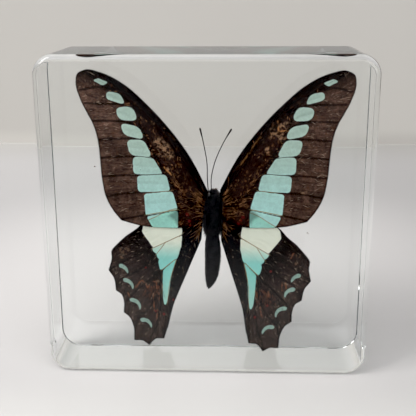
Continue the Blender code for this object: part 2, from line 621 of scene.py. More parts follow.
def forewing_fields(points, side):
    places = FORE.place(points, side)
    under = HIND.drawn(places, side)
    strokes = [distance_to_path(points, stroke) for stroke in FORE_SCRATCHES[side]]
    return {
        "pale": nearest_of(points, FORE.windows),
        "vein": np.min([distance_to_path(points, vein) for vein in FORE.fan + FORE.cell], axis=0),
        "margin": distance_to_path(points, FORE.outline, closed=True),
        "costa": distance_to_path(points, FORE.costa),
        "rubbed": soft_spots(points, FORE_RUBBED[side]),
        "scratch": np.min(strokes, axis=0),
        "red": soft_spots(points, FORE_RED[side]),
        "behind": signed_distance(under, HIND.outline),
        "shade": signed_distance(points, FORE.shade),
        "beyond": beyond_band(points),
        "height": points[:, 1],
    }


# %% Numbers for the hindwings
HIND_RUBBED = {
    LEFT: [(20.5, 27.8, 1.6), (20.9, 26.0, 0.8), (12.4, 20.2, 0.7)],
    RIGHT: [(20.8, 28.7, 0.9), (20.6, 26.6, 0.9), (18.3, 21.4, 0.9), (14.3, 18.6, 0.6)],
}
HIND_SCRATCHES = {
    LEFT: [[(17.6, 18.3), (16.6, 19.9), (16.0, 20.2), (15.2, 19.4), (14.7, 18.3)],
           [(14.7, 18.3), (14.2, 19.4), (13.4, 20.1), (12.9, 20.1)],
           [(12.6, 19.9), (12.4, 17.3)], [(12.0, 19.0), (11.9, 15.5)], [(13.3, 17.0), (13.0, 12.5)],
           [(19.5, 16.8), (18.6, 14.9)], [(12.2, 13.0), (12.3, 9.8)]],
    RIGHT: [[(14.3, 19.2), (14.4, 17.9)], [(18.1, 22.0), (18.5, 20.2)], [(17.4, 21.6), (17.6, 19.6)],
            [(19.6, 29.4), (19.0, 27.9)], [(11.5, 19.0), (11.7, 16.4)], [(12.6, 15.0), (13.2, 12.2)]],
}
HIND_RED = {
    LEFT: [(8.4, 15.7, 0.5), (10.6, 11.8, 0.6), (15.3, 23.6, 0.4), (12.6, 12.4, 0.4)],
    RIGHT: [(7.8, 15.7, 0.4), (14.3, 15.5, 0.5), (11.5, 12.3, 0.6), (14.5, 24.4, 0.5)],
}
ANAL_FOLD = [(4.4, 33.8), (6.0, 31.0), (7.3, 28.0), (8.2, 25.0), (9.0, 20.0), (9.3, 15.0), (10.0, 6.0)]


def hindwing_fields(points, side):
    strokes = [distance_to_path(points, stroke) for stroke in HIND_SCRATCHES[side]]
    fold_x = np.interp(points[:, 1], [z for _, z in ANAL_FOLD[::-1]], [x for x, _ in ANAL_FOLD[::-1]])
    return {
        "cream": nearest_of(points, HIND.cream),
        "blue": nearest_of(points, HIND.blue),
        "moon": nearest_of(points, HIND.moons),
        "vein": np.min([distance_to_path(points, vein) for vein in HIND.fan + HIND.cell], axis=0),
        "margin": distance_to_path(points, HIND.outline, closed=True),
        "rubbed": soft_spots(points, HIND_RUBBED[side]),
        "scratch": np.min(strokes, axis=0),
        "red": soft_spots(points, HIND_RED[side]),
        "fold": points[:, 0] - fold_x,
        "height": points[:, 1],
    }


wings = {}
for side, word in SIDES:
    for kind, wing, fields in (("forewing", FORE, forewing_fields), ("hindwing", HIND, hindwing_fields)):
        name = f"{word}_{kind}"
        wings[name] = add_piece(name, sheet_mesh(name, wing, side, fields))
print("wing triangles:", {name: len(wing.data.polygons) for name, wing in wings.items()})

# %% [markdown]
# ## Wing scales
# A butterfly's colour is in its scales: tiny plates in rows, which also show as a fine grain along the
# veins. The grain is needed on all four wings, above and below, so it is one shader node group. It reads
# each wing's own two grain numbers, and gives a long streak pattern, a fine speckle and a height for the
# bump.

# %% Shared groups for grain and fine fuzz
def shader_group(name, inputs, outputs):
    """A new shader node group with named inputs and outputs. Each input is a name and its usual value."""
    group = bpy.data.node_groups.new(name, "ShaderNodeTree")
    for label, value in inputs.items():
        kind = "NodeSocketVector" if isinstance(value, tuple) else "NodeSocketFloat"
        group.interface.new_socket(label, in_out="INPUT", socket_type=kind).default_value = value
    for label in outputs:
        group.interface.new_socket(label, in_out="OUTPUT", socket_type="NodeSocketFloat")
    tree = Tree(group)
    return group, tree, tree.add("NodeGroupInput").outputs, tree.add("NodeGroupOutput").inputs


def attribute(tree, name):
    return tree.add("ShaderNodeAttribute", attribute_name=name).outputs["Fac"]


def scale_rows_group():
    group, tree, given, out = shader_group(
        "Scale rows", {"Streaks": 13.0, "Streak length": 1.3, "Scale size": 1.7},
        ["Streak", "Speckle", "Height"])
    across = tree.math("MULTIPLY", attribute(tree, "across"), given["Streaks"])
    along = tree.math("MULTIPLY", attribute(tree, "along"), given["Streak length"])
    fibre = tree.first("ShaderNodeCombineXYZ", {0: across, 1: along})
    tree.feed(out["Streak"], tree.ramp(tree.noise(fibre, 1.0, 4.0, 0.65), 0.38, 0.62))
    place = millimetres(tree)
    tree.feed(out["Speckle"], tree.ramp(tree.noise(place, given["Scale size"], 3.0, 0.7), 0.36, 0.64))
    inputs = {"Vector": place, "Scale": given["Scale size"]}
    plates = tree.add("ShaderNodeTexVoronoi", inputs).outputs["Distance"]
    low_plates = tree.math("MULTIPLY", plates, 0.5)
    tree.feed(out["Height"], tree.math("ADD", low_plates, tree.noise(fibre, 1.0, 2.0)))
    return group


SCALE_ROWS = scale_rows_group()


def scale_rows(tree, **values):
    """The grain group in a material, with its own values."""
    return tree.add("ShaderNodeGroup", values, node_tree=SCALE_ROWS).outputs


def band(tree, value, edge, softness=0.06):
    """1 where the value is below the edge and 0 above it, with a narrow soft step between."""
    return tree.ramp(value, edge + softness, edge - softness)


def near(tree, name, edge, softness):
    """1 where a wing point's named distance is below the edge."""
    return band(tree, attribute(tree, name), edge, softness)


def stepped(tree, name, start, end, low=0.0, high=1.0):
    """A smooth step in one of the wing points' named numbers."""
    return tree.ramp(attribute(tree, name), start, end, low, high)


def ragged(tree, value, place, amount, scale=2.5):
    """A distance made slightly uneven, so that a line drawn from it isn't ruled."""
    uneven = tree.math("MULTIPLY", tree.math("SUBTRACT", tree.noise(place, scale, 2.0), 0.5), amount)
    return tree.math("ADD", value, uneven)


def shade_by(tree, colour, value, low, high):
    """A colour made darker or lighter: times low where the value is 0, and times high where it is 1."""
    gain = tree.first("ShaderNodeMapRange", {"Value": value, "To Min": low, "To Max": high})
    grey = tree.first("ShaderNodeCombineXYZ", {0: gain, 1: gain, 2: gain})
    return tree.mix(1.0, colour, grey, "MULTIPLY")


def wear(tree, colour, place, tone, scratch_tone):
    """Rubbed patches, where brown membrane shows through, and fine golden scratches."""
    crackle = tree.ramp(tree.noise(place, 1.25, 3.0, 0.7), 0.46, 0.56)
    uneven = tree.math("SUBTRACT", tree.noise(place, 0.9, 3.0), 0.6)
    worn = tree.math("ADD", attribute(tree, "rubbed"), uneven)
    worn = tree.math("MULTIPLY", tree.ramp(worn, 0.0, 0.45, 0.0, 0.95), crackle)
    colour = tree.mix(worn, colour, tone)
    line = band(tree, ragged(tree, attribute(tree, "scratch"), place, 0.25), 0.16, 0.10)
    broken = tree.math("MULTIPLY", line, tree.ramp(tree.noise(place, 1.4, 2.0), 0.36, 0.52))
    return tree.mix(broken, colour, scratch_tone)


# %% Finish of the wings
SEALED_SHINE = 0.04


def wing_shader(tree, shader, colour, height):
    tree.feed(shader["Base Color"], colour)
    shader["Roughness"].default_value = 0.62
    shader["Specular IOR Level"].default_value = SEALED_SHINE
    add_bump(tree, shader, height, 0.35, 0.00006)


def forewing_material(name, disc, outer, pale_low, pale_high):
    material, tree, shader, _ = new_material(name)
    place = millimetres(tree)
    grain_out = scale_rows(tree)
    colour = tree.mix(stepped(tree, "beyond", -3.0, 4.0), disc, outer)
    blotches = tree.ramp(tree.noise(place, 0.35, 3.0), 0.35, 0.65)
    for mask, low, high in (
        (grain_out["Streak"], 0.62, 1.35), (grain_out["Speckle"], 0.68, 1.3), (blotches, 0.7, 1.2),
    ):
        colour = shade_by(tree, colour, mask, low, high)
    flecks = tree.ramp(tree.noise(place, 1.1, 3.0, 0.7), 0.57, 0.66, 0.0, 0.8)
    flecks = tree.math("MULTIPLY", flecks, stepped(tree, "beyond", 2.0, -3.0, 0.3, 1.0))
    colour = tree.mix(flecks, colour, rgb(112, 72, 44))
    colour = wear(tree, colour, place, rgb(158, 122, 92), rgb(192, 132, 76))
    for line, edge, softness, darkest in (
        ("vein", 0.28, 0.18, 0.25), ("costa", 2.4, 1.6, 0.30), ("costa", 0.9, 0.5, 0.5),
        ("margin", 0.30, 0.25, 0.30),
    ):
        colour = shade_by(tree, colour, near(tree, line, edge, softness), 1.0, darkest)
    # Painted shade: the wing darkens towards its hinge, beside the body.
    colour = shade_by(tree, colour, stepped(tree, "along", 0.3, 1.2), 0.35, 1.0)
    red = tree.math("MULTIPLY", stepped(tree, "red", 0.1, 0.6), tree.noise(place, 1.5, 2.0))
    colour = tree.mix(tree.ramp(red, 0.12, 0.6), colour, rgb(98, 28, 25))
    window = window_colour(tree, place, grain_out, pale_low, pale_high)
    colour = tree.mix(window_mask(tree, place), colour, window)
    wing_shader(tree, shader, colour, grain_out["Height"])
    return material


def window_mask(tree, place):
    return band(tree, ragged(tree, attribute(tree, "pale"), place, 0.16), 0.02)


def window_colour(tree, place, grain_out, low, high):
    """The pale windows, bluer low on the wing, duller at its tip, and thin: the hindwing behind them is
    painted in as shade.
    """
    colour = tree.mix(stepped(tree, "height", 37.0, 56.0), low, high)
    colour = shade_by(tree, colour, stepped(tree, "height", 58.0, 67.0), 1.0, 0.84)
    colour = shade_by(tree, colour, grain_out["Speckle"], 0.93, 1.05)
    colour = shade_by(tree, colour, tree.noise(place, 0.5, 3.0), 0.88, 1.10)
    colour = shade_by(tree, colour, near(tree, "pale", -0.35, 0.2), 1.05, 0.99)
    # Painted shade where the hindwing lies behind the window.
    painted_shade_over_hindwing = near(tree, "behind", 0.0, 0.05)
    colour = tree.mix(painted_shade_over_hindwing, colour, tree.mix(1.0, colour, (0.80, 0.96, 0.88, 1), "MULTIPLY"))
    # A painted tan outline of the hindwing's edge, as seen through the window.
    edge = tree.math("ABSOLUTE", attribute(tree, "behind"))
    colour = tree.mix(band(tree, ragged(tree, edge, place, 0.1), 0.09, 0.06), colour, rgb(160, 150, 118))
    # Painted shade: a dark green wedge where the hindwing's dark base lies behind the lowest window.
    shade = band(tree, ragged(tree, attribute(tree, "shade"), place, 0.5), 0.1, 0.5)
    return tree.mix(tree.math("MULTIPLY", shade, 0.6), colour, rgb(52, 70, 58))


def hindwing_material(name, disc, outer, cream, blue):
    material, tree, shader, _ = new_material(name)
    place = millimetres(tree)
    grain_out = scale_rows(tree)
    colour = tree.mix(stepped(tree, "along", 3.2, 6.5), disc, outer)
    blotches = tree.ramp(tree.noise(place, 0.4, 3.0), 0.35, 0.65)
    for mask, low, high in (
        (grain_out["Streak"], 0.5, 1.5), (grain_out["Speckle"], 0.65, 1.35), (blotches, 0.7, 1.2),
    ):
        colour = shade_by(tree, colour, mask, low, high)
    colour = wear(tree, colour, place, rgb(104, 79, 62), rgb(122, 76, 53))
    colour = shade_by(tree, colour, near(tree, "vein", 0.26, 0.18), 1.0, 0.3)
    fold = band(tree, ragged(tree, attribute(tree, "fold"), place, 0.5, 0.8), 0.0, 0.35)
    colour = tree.mix(fold, colour, shade_by(tree, rgb(13, 12, 15), grain_out["Streak"], 0.75, 1.25))
    colour = shade_by(tree, colour, near(tree, "margin", 0.28, 0.22), 1.0, 0.35)
    red = tree.math("MULTIPLY", stepped(tree, "red", 0.1, 0.6), tree.noise(place, 1.5, 2.0))
    colour = tree.mix(tree.ramp(red, 0.12, 0.5), colour, rgb(104, 30, 30))
    pale = shade_by(tree, cream, tree.noise(place, 0.7, 3.0), 0.93, 1.05)
    colour = tree.mix(band(tree, ragged(tree, attribute(tree, "cream"), place, 0.2), 0.02), colour, pale)
    bluer = tree.mix(stepped(tree, "height", 25.5, 31.5), blue, cream)
    bluer = tree.mix(stepped(tree, "height", 24.0, 15.0), bluer, rgb(164, 212, 200))
    bluer = shade_by(tree, bluer, tree.noise(place, 0.7, 3.0), 0.9, 1.08)
    colour = tree.mix(band(tree, ragged(tree, attribute(tree, "blue"), place, 0.25), 0.02), colour, bluer)
    moon = band(tree, ragged(tree, attribute(tree, "moon"), place, 0.2), 0.0, 0.09)
    colour = tree.mix(moon, colour, shade_by(tree, rgb(148, 175, 164), grain_out["Speckle"], 0.85, 1.1))
    wing_shader(tree, shader, colour, grain_out["Height"])
    return material


FORE_TOP = forewing_material(
    "forewing_top", rgb(38, 23, 19), rgb(80, 59, 50), rgb(182, 227, 221), rgb(179, 202, 190))
FORE_UNDER = forewing_material(
    "forewing_underside", rgb(70, 50, 38), rgb(98, 74, 56), rgb(150, 206, 200), rgb(176, 202, 190))
HIND_TOP = hindwing_material(
    "hindwing_top", rgb(19, 14, 14), rgb(52, 39, 35), rgb(240, 243, 226), rgb(147, 217, 208))
HIND_UNDER = hindwing_material(
    "hindwing_underside", rgb(74, 54, 42), rgb(102, 78, 60), rgb(212, 214, 194), rgb(146, 206, 198))
for name, wing in wings.items():
    for material in (FORE_TOP, FORE_UNDER) if "fore" in name else (HIND_TOP, HIND_UNDER):
        wing.data.materials.append(material)
print("wing finishes:", [m.name for m in bpy.data.materials if "wing" in m.name])

# %% [markdown]
# ## Tubes along paths
# Veins, antennae, legs, the coiled tongue and single long hairs are all the same thing to Blender: a
# round tube that follows a path, with its own thickness at each point. One Geometry Nodes tree makes them
# all. Its host is a mesh of bare edges whose points carry a thickness, and rings can be added along the
# way.

# %% A geometry tree for tubes, and how trees are run
def geometry_group(name, inputs):
    """A new geometry tree. inputs maps each named input to its socket type and usual value."""
    group = bpy.data.node_groups.new(name, "GeometryNodeTree")
    group.interface.new_socket("Geometry", in_out="OUTPUT", socket_type="NodeSocketGeometry")
    group.interface.new_socket("Geometry", in_out="INPUT", socket_type="NodeSocketGeometry")
    for label, (kind, value) in inputs.items():
        socket = group.interface.new_socket(label, in_out="INPUT", socket_type="NodeSocket" + kind)
        if value is not None:
            socket.default_value = value
    group.interface.new_socket("Material", in_out="INPUT", socket_type="NodeSocketMaterial")
    tree = Tree(group)
    return group, tree, tree.add("NodeGroupInput").outputs, tree.add("NodeGroupOutput").inputs["Geometry"]


def end_tree(tree, shape, given, out):
    """Every tree ends alike: its copies are made real, shaded smooth, and given their material."""
    real = tree.first("GeometryNodeRealizeInstances", {"Geometry": shape})
    smooth = tree.first("GeometryNodeSetShadeSmooth", {"Geometry": real})
    tree.feed(out, tree.first("GeometryNodeSetMaterial", {0: smooth, "Material": given["Material"]}))


def field(tree, name, kind="FLOAT"):
    return tree.add("GeometryNodeInputNamedAttribute", {"Name": name}, data_type=kind).outputs["Attribute"]


def any_value(tree, low, high, seed):
    """A number between low and high, different on each point or copy."""
    return tree.add("FunctionNodeRandomValue", {2: low, 3: high, "Seed": seed}, data_type="FLOAT").outputs[1]


def tube_group():
    group, tree, given, out = geometry_group("Tubes along paths", {
        "Sides": ("Int", 6), "Ring spacing": ("Float", 0.0004), "Ring depth": ("Float", 0.0)})
    curve = tree.first("GeometryNodeMeshToCurve", {"Mesh": given["Geometry"]})
    along = tree.add("GeometryNodeSplineParameter").outputs["Length"]
    turns = tree.math("MULTIPLY", tree.math("DIVIDE", along, given["Ring spacing"]), 2 * math.pi)
    ringed = tree.math("ADD", tree.math("MULTIPLY", tree.math("SINE", turns), given["Ring depth"]), 1.0)
    thickness = tree.math("MULTIPLY", field(tree, "thickness"), ringed)
    inputs = {"Resolution": given["Sides"], "Radius": 1.0}
    circle = tree.first("GeometryNodeCurvePrimitiveCircle", inputs)
    inputs = {"Curve": curve, "Profile Curve": circle, "Scale": thickness, "Fill Caps": True}
    tube = tree.first("GeometryNodeCurveToMesh", inputs)
    end_tree(tree, tube, given, out)
    return group


TUBES = tube_group()


def run_tree(name, host, group, **values):
    """The plain mesh that a geometry tree makes from a host mesh."""
    holder = bpy.data.objects.new("holder", host)
    bpy.context.collection.objects.link(holder)
    modifier = holder.modifiers.new("nodes", "NODES")
    modifier.node_group = group
    for item in group.interface.items_tree:
        if item.in_out == "INPUT" and item.name in values:
            modifier[item.identifier] = values[item.name]
    graph = bpy.context.evaluated_depsgraph_get()
    mesh = bpy.data.meshes.new_from_object(holder.evaluated_get(graph), depsgraph=graph)
    mesh.name = name
    holder.modifiers.remove(modifier)
    bpy.data.objects.remove(holder)
    return mesh


def grow(name, slot, host, group, **values):
    """A piece that a geometry tree makes from a host mesh."""
    mesh = run_tree(name, host, group, **values)
    add_piece(name, mesh)
    print(name, "faces:", len(mesh.polygons))
    return mesh


def path_host(paths):
    """A mesh of bare edges. Each path is its points in millimetres, their thickness and how pale they are."""
    points, edges, thickness, pale = [], [], [], []
    for path, radii, tone in paths:
        start = len(points)
        points += [tuple(point * MM) for point in np.asarray(path, float)]
        edges += [(i, i + 1) for i in range(start, len(points) - 1)]
        thickness += list(np.broadcast_to(radii, len(path)) * MM)
        pale += list(np.broadcast_to(tone, len(path)))
    mesh = bpy.data.meshes.new("paths")
    mesh.from_pydata(points, edges, [])
    store(mesh, "thickness", thickness)
    store(mesh, "tone", pale)
    return mesh


# %% [markdown]
# ## Veins
# Veins are hollow rods that hold the membrane taut. They are thickest at the wing's base and thin towards
# the margin. Where they cross a pale patch they have lost their dark scales and look like tan threads.

# %% Veins
def on_wing(wing, points, side, lift=0.0):
    """Drawing points as points in the block, on the wing's front surface, or lift above it."""
    depth = relief(wing, points, grain(wing, points)[:, 0])
    places = wing.place(points, side)
    return np.stack([places[:, 0], depth - lift, places[:, 1]], 1)


def uncovered(path, loops):
    """The part of a path beyond its last point inside any of the loops."""
    inside = np.nonzero(nearest_of(path, loops) < 0)[0] if loops else []
    return path[inside[-1] + 1:] if len(inside) else path


VEIN_BASE, VEIN_TIP = 0.13, 0.055


def vein_paths(wing, side, pale_loops):
    """Each vein as a path on the wing. Scales hide the hindwing's upper two where its cream patch is."""
    hidden = HIND.cream if wing is HIND else []
    bare = [uncovered(vein, hidden) for vein in wing.fan[:2]] + wing.fan[2:] + wing.cell
    made = []
    for vein in bare:
        reach = np.linalg.norm(vein - wing.hinge, axis=1) / SPAN
        radii = VEIN_BASE + (VEIN_TIP - VEIN_BASE) * np.clip(reach, 0, 1)
        pale = np.clip(1.2 - 3 * nearest_of(vein, pale_loops), 0, 1)
        made.append((on_wing(wing, vein, side), radii, pale))
    return made


def vein_material():
    material, tree, shader, _ = new_material("vein")
    place = millimetres(tree)
    dark = shade_by(tree, rgb(26, 17, 14), tree.noise(place, 3.0, 3.0), 0.6, 1.5)
    tan = shade_by(tree, rgb(158, 138, 98), tree.noise(place, 1.2, 3.0), 0.7, 1.25)
    tree.feed(shader["Base Color"], tree.mix(attribute(tree, "tone"), dark, tan))
    shader["Roughness"].default_value = 0.5
    shader["Specular IOR Level"].default_value = SEALED_SHINE
    add_bump(tree, shader, tree.noise(place, 9.0), 0.3, 0.00003)
    return material


VEIN = vein_material()
for side, word in SIDES:
    for kind, wing, loops in (
        ("forewing", FORE, FORE.windows[7:]), ("hindwing", HIND, HIND.cream + HIND.blue),
    ):
        host = path_host(vein_paths(wing, side, loops))
        grow(f"{word}_{kind}_veins", "wing_scales", host, TUBES, Sides=6, Material=VEIN)

# %% [markdown]
# ## Fur and fringes
# Short hairs cover the body, and a fringe of tiny hair-like scales edges each wing. Blender could grow
# these as particle hair, but only real triangles survive an export. So a geometry tree scatters points
# over a host, and puts one bent, tapered hair of 18 triangles on each. The hairs lean along a comb
# direction.

# %% Geometry trees for fur and fringes
def hair_shape(tree, taper):
    """One hair, a unit long: a bent line with three sides that thins towards its tip."""
    inputs = {"Resolution": 3, "Start": (0, 0, 0), "Middle": (0, 0, 0.55), "End": (0.3, 0, 0.95)}
    line = tree.first("GeometryNodeCurveQuadraticBezier", inputs)
    factor = tree.add("GeometryNodeSplineParameter").outputs["Factor"]
    width = tree.math("MULTIPLY", taper, tree.math("SUBTRACT", 1.05, factor))
    circle = tree.first("GeometryNodeCurvePrimitiveCircle", {"Resolution": 3, "Radius": 1.0})
    inputs = {"Curve": line, "Profile Curve": circle, "Scale": width}
    return tree.first("GeometryNodeCurveToMesh", inputs)


def any_vector(tree, seed):
    """A vector with each part between -1 and 1, different on each point."""
    inputs = {"Min": (-1, -1, -1), "Max": (1, 1, 1), "Seed": seed}
    return tree.first("FunctionNodeRandomValue", inputs, data_type="FLOAT_VECTOR")


def pointing(tree, direction, seed):
    """A turn that points a hair's length along a direction, with any spin about it."""
    upright = tree.first("FunctionNodeAlignRotationToVector", {"Vector": direction}, axis="Z")
    inputs = {"Rotation": upright, "Vector": any_vector(tree, seed)}
    return tree.first("FunctionNodeAlignRotationToVector", inputs, axis="X", pivot_axis="Z")


HAIR_INPUTS = {
    "Length": ("Float", 0.0007), "Thickness": ("Float", 0.03), "Lay": ("Float", 0.6),
    "Spread": ("Float", 0.3), "Comb": ("Vector", (0, 0, -1)), "Seed": ("Int", 1)}


def plant(tree, given, points, away):
    """Hairs on points: each stands away from its host, leans with the comb, and differs in length."""
    stand = tree.scaled(away, tree.math("SUBTRACT", 1.0, given["Lay"]))
    lean = tree.scaled(given["Comb"], given["Lay"])
    stray = tree.scaled(any_vector(tree, given["Seed"]), given["Spread"])
    direction = tree.vector("ADD", tree.vector("ADD", stand, lean), stray)
    length = tree.math("MULTIPLY", given["Length"], any_value(tree, 0.5, 1.15, given["Seed"]))
    inputs = {"Points": points, "Instance": hair_shape(tree, given["Thickness"]),
              "Rotation": pointing(tree, direction, given["Seed"]), "Scale": length}
    return tree.first("GeometryNodeInstanceOnPoints", inputs)


def fur_group():
    group, tree, given, out = geometry_group("Fur", {"Per square metre": ("Float", 3e7), **HAIR_INPUTS})
    inputs = {"Mesh": given["Geometry"], "Density": given["Per square metre"], "Seed": given["Seed"]}
    scatter = tree.add("GeometryNodeDistributePointsOnFaces", inputs)
    end_tree(tree, plant(tree, given, scatter.outputs["Points"], scatter.outputs["Normal"]), given, out)
    return group


def fringe_group():
    group, tree, given, out = geometry_group("Fringe", {"Spacing": ("Float", 0.00012), **HAIR_INPUTS})
    curve = tree.first("GeometryNodeMeshToCurve", {"Mesh": given["Geometry"]})
    inputs = {"Curve": curve, "Length": given["Spacing"]}
    even = tree.first("GeometryNodeResampleCurve", inputs, mode="LENGTH")
    end_tree(tree, plant(tree, given, even, field(tree, "outward", "FLOAT_VECTOR")), given, out)
    return group


FUR = fur_group()
FRINGE = fringe_group()
print("hair trees:", FUR.name, FRINGE.name)


# %% Fringe along each wing's margin
def outward_of(loop):
    """The direction away from a closed loop at each of its points."""
    way = np.roll(loop, -1, 0) - np.roll(loop, 1, 0)
    out = np.stack([way[:, 1], -way[:, 0]], 1)
    x, z = loop.T
    counterclockwise = (x * np.roll(z, -1) - np.roll(x, -1) * z).sum() > 0
    return out / np.linalg.norm(out, axis=1, keepdims=True) * (1 if counterclockwise else -1)


def fringe_host(wing, side):
    """The margin as a path of bare edges that know which way is outwards. The hinge side has no fringe."""
    loop = wing.outline
    places = wing.place(loop, side)
    out = outward_of(places)
    points = on_wing(wing, loop, side, lift=-0.5 * SHEET_THICKNESS)
    free = loop[:, 0] > 5.0
    edges = [(i, i + 1) for i in range(len(loop) - 1) if free[i] and free[i + 1]]
    mesh = bpy.data.meshes.new("margin")
    mesh.from_pydata(points * MM, edges, [])
    store(mesh, "outward", np.stack([out[:, 0], np.zeros(len(out)), out[:, 1]], 1))
    return mesh


def fuzz_material(name, dark, light, scale=1.2):
    """Hair: two tones in tufts, a little sheen, and a roughness that varies."""
    material, tree, shader, _ = new_material(name)
    place = millimetres(tree)
    tufts = tree.ramp(tree.noise(place, scale, 3.0), 0.35, 0.68)
    tree.feed(shader["Base Color"], tree.mix(tufts, dark, light))
    tree.feed(shader["Roughness"], tree.ramp(tufts, 0.0, 1.0, 0.45, 0.65))
    shader["Specular IOR Level"].default_value = SEALED_SHINE
    return material


FRINGE_FUZZ = fuzz_material("wing_fringe", rgb(16, 12, 11), rgb(44, 33, 28))
for side, word in SIDES:
    for kind, wing in (("forewing", FORE), ("hindwing", HIND)):
        grow(f"{word}_{kind}_fringe", "wing_scales", fringe_host(wing, side), FRINGE, Length=0.00028,
             Thickness=0.11, Lay=0.0, Spread=0.35, Seed=3, Material=FRINGE_FUZZ)

# %% [markdown]
# ## The body
# A butterfly's body has three parts: a small head with two large eyes, a thick thorax that holds the wing
# muscles, and a long soft abdomen in rings. Each is lofted: oval sections are placed along the body's
# line, and a skin joins them. The dried abdomen has bent a little to the left and sunk in between its
# rings.

# %% Lofted body parts
SECTION_POINTS = 36


def loft(name, stations, rings=()):
    """A closed skin over oval sections (z, x, half width, y, half depth). rings are grooves' heights."""
    line = smooth_curve(stations, 0.2)
    angles = np.linspace(0, 2 * math.pi, SECTION_POINTS, endpoint=False)
    points = []
    for z, x, half_width, y, half_depth in line:
        pinch = 1 - RING_DEPTH * sum(math.exp(-((z - ring) / RING_WIDTH) ** 2) for ring in rings)
        sag = 1 + 0.03 * np.cos(3 * angles + 0.7 * z)
        across = x + np.maximum(half_width, 0.02) * pinch * sag * np.cos(angles)
        deep = y + np.maximum(half_depth, 0.02) * pinch * sag * np.sin(angles)
        points.append(np.stack([across, deep, np.full_like(angles, z)], 1))
    points = np.vstack(points)
    faces = [tuple(range(SECTION_POINTS))[::-1], tuple(range(len(points) - SECTION_POINTS, len(points)))]
    for row in range(len(line) - 1):
        for i in range(SECTION_POINTS):
            here, there = row * SECTION_POINTS + i, row * SECTION_POINTS + (i + 1) % SECTION_POINTS
            faces.append((here, there, there + SECTION_POINTS, here + SECTION_POINTS))
    if line[0][0] > line[-1][0]:
        faces = [face[::-1] for face in faces]
    mesh = bpy.data.meshes.new(name)
    mesh.from_pydata(points * MM, [], faces)
    mesh.shade_smooth()
    return mesh


def at_body(*rows):
    """Stations whose x and y are given from the body's centre line."""
    return [(z, CENTRE_X + x, wide, CENTRE_Y + y, deep) for z, x, wide, y, deep in rows]


THORAX = at_body(
    (43.1, 0.20, 0.10, 0.3, 0.10), (43.0, 0.20, 1.15, 0.3, 0.80), (42.4, 0.18, 1.75, 0.3, 1.30),
    (41.2, 0.10, 2.00, 0.3, 1.75), (39.6, 0.00, 2.12, 0.3, 2.05), (37.5, -0.10, 2.18, 0.3, 2.25),
    (35.5, -0.20, 2.15, 0.35, 2.20), (33.9, -0.20, 1.85, 0.4, 1.80), (32.9, -0.20, 1.45, 0.4, 1.30),
    (32.5, -0.20, 0.90, 0.4, 0.80), (32.4, -0.20, 0.10, 0.4, 0.10))
ABDOMEN = at_body(
    (33.2, -0.20, 0.10, 0.4, 0.10), (33.1, -0.20, 0.90, 0.4, 0.90), (32.4, -0.18, 1.45, 0.4, 1.45),
    (31.2, -0.15, 1.68, 0.45, 1.65), (29.0, -0.15, 1.84, 0.5, 1.75), (25.5, -0.25, 1.76, 0.55, 1.65),
    (22.5, -0.42, 1.50, 0.5, 1.40), (20.8, -0.75, 1.02, 0.45, 0.95), (19.8, -1.00, 0.55, 0.4, 0.55),
    (19.2, -1.15, 0.10, 0.4, 0.10))
HEAD = at_body(
    (43.8, 0.05, 0.08, 0.2, 0.08), (43.7, 0.05, 0.70, 0.2, 0.50), (43.3, 0.05, 1.15, 0.2, 0.85),
    (42.6, 0.05, 1.35, 0.25, 1.05), (41.9, 0.05, 1.20, 0.25, 1.05), (41.3, 0.00, 0.85, 0.25, 0.85),
    (41.0, 0.00, 0.10, 0.25, 0.10))
ABDOMEN_RINGS = (31.6, 30.0, 28.4, 26.8, 25.2, 23.6, 22.1, 20.8)
RING_DEPTH, RING_WIDTH = 0.07, 0.14


def skin_material(name, dark, light, roughness):
    """Dried skin under the fur: near black, a little blotched, with fine wrinkles."""
    material, tree, shader, _ = new_material(name)
    place = millimetres(tree)
    tree.feed(shader["Base Color"], tree.mix(tree.ramp(tree.noise(place, 0.9, 4.0), 0.3, 0.7), dark, light))
    tree.feed(shader["Roughness"], tree.ramp(tree.noise(place, 2.0), 0.3, 0.7, roughness, roughness + 0.2))
    shader["Specular IOR Level"].default_value = 2 * SEALED_SHINE
    add_bump(tree, shader, tree.noise(place, 4.0, 4.0, 0.7), 0.5, 0.00008)
    return material


BODY_SKIN = skin_material("body_skin", rgb(16, 16, 18), rgb(34, 34, 37), 0.55)
body_parts = {}
for name, stations in (("thorax", THORAX), ("abdomen", ABDOMEN), ("head", HEAD)):
    mesh = loft(name, stations, ABDOMEN_RINGS if name == "abdomen" else ())
    mesh.materials.append(BODY_SKIN)
    body_parts[name] = add_piece(name, mesh)
    print(name, "faces:", len(mesh.polygons))

# %% [markdown]
# ## Eyes
# An insect's eye is a dome of hundreds of tiny lenses. Here each dome is a rounded mesh, and the lenses
# are a cell pattern in its bump, because one lens is far smaller than a hair is long.

# %% Eyes
def eye_material():
    material, tree, shader, _ = new_material("compound_eye")
    place = millimetres(tree)
    cells = tree.add("ShaderNodeTexVoronoi", {"Vector": place, "Scale": 14.0}).outputs["Distance"]
    tree.feed(shader["Base Color"], shade_by(tree, rgb(44, 30, 24), cells, 1.2, 0.6))
    tree.feed(shader["Roughness"], tree.ramp(tree.noise(place, 1.5), 0.3, 0.7, 0.18, 0.32))
    add_bump(tree, shader, cells, 0.5, 0.00004, invert=True)
    return material


EYE = eye_material()
for side, word in SIDES:
    x = 0.05 + side * 0.92
    stations = at_body((43.4, x, 0.06, 0.15, 0.06), (43.3, x, 0.34, 0.15, 0.38), (42.9, x, 0.60, 0.15, 0.68),
                       (42.4, x, 0.68, 0.15, 0.78), (41.9, x, 0.58, 0.15, 0.68), (41.5, x, 0.32, 0.15, 0.38),
                       (41.4, x, 0.06, 0.15, 0.06))
    mesh = loft(word + "_eye", stations)
    mesh.materials.append(EYE)
    add_piece(word + "_eye", mesh)
print("eyes made")

# %% [markdown]
# ## Body fur
# The thorax is shaggy, the abdomen is velvety, and the head is a tuft. Each gets its own density and
# length from the same fur tree. The fur is combed backwards, from the head to the tail.

